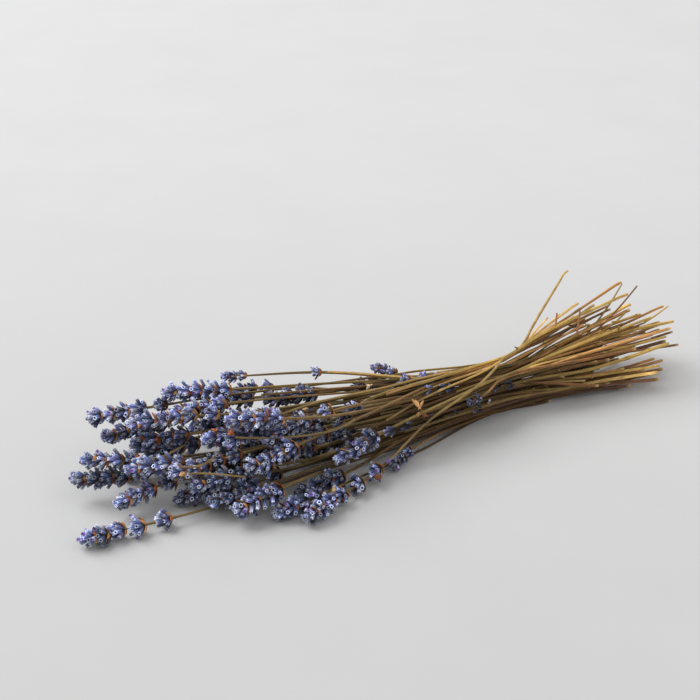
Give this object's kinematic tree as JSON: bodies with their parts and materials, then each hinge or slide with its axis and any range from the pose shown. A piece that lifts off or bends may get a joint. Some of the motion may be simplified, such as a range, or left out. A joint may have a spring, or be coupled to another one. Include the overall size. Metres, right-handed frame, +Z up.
{
  "type": "bunch of dried lavender",
  "caption": "Loose bunch of dried lavender lying on its side, blue-violet flower heads at one end and brown cut stems at the other.",
  "frame": {"origin": "on the surface it lies on, under the middle of the bounding box", "axes": "+X along the bunch toward the cut ends, with the flower heads at -X; +Y across it; +Z up"},
  "size_m": [0.3824, 0.1232, 0.0483],
  "materials": {
    "calyx": "dry, matt, finely ribbed",
    "stem": "dry, matt, faintly fibrous"
  },
  "bodies": {
    "root": {"head_01": "calyx", "head_02": "calyx", "head_03": "calyx", "head_04": "calyx", "head_05": "calyx", "head_06": "calyx", "head_07": "calyx", "head_08": "calyx", "head_09": "calyx", "head_10": "calyx", "head_11": "calyx", "head_12": "calyx", "head_13": "calyx", "head_14": "calyx", "head_15": "calyx", "head_16": "calyx", "head_17": "calyx", "head_18": "calyx", "head_19": "calyx", "head_20": "calyx", "head_21": "calyx", "head_22": "calyx", "head_23": "calyx", "head_24": "calyx", "head_25": "calyx", "head_26": "calyx", "head_27": "calyx", "head_28": "calyx", "head_29": "calyx", "head_30": "calyx", "head_31": "calyx", "head_32": "calyx", "head_33": "calyx", "head_34": "calyx", "head_35": "calyx", "head_36": "calyx", "head_37": "calyx", "head_38": "calyx", "head_39": "calyx", "head_40": "calyx", "head_41": "calyx", "head_42": "calyx", "head_43": "calyx", "head_44": "calyx", "head_45": "calyx", "head_46": "calyx", "head_47": "calyx", "head_48": "calyx", "head_49": "calyx", "stems_01": "stem", "stems_02": "stem", "stems_03": "stem", "stems_04": "stem", "stems_05": "stem", "stems_06": "stem", "stems_07": "stem", "stems_08": "stem", "stems_09": "stem", "stems_10": "stem"}
  },
  "joints": []
}
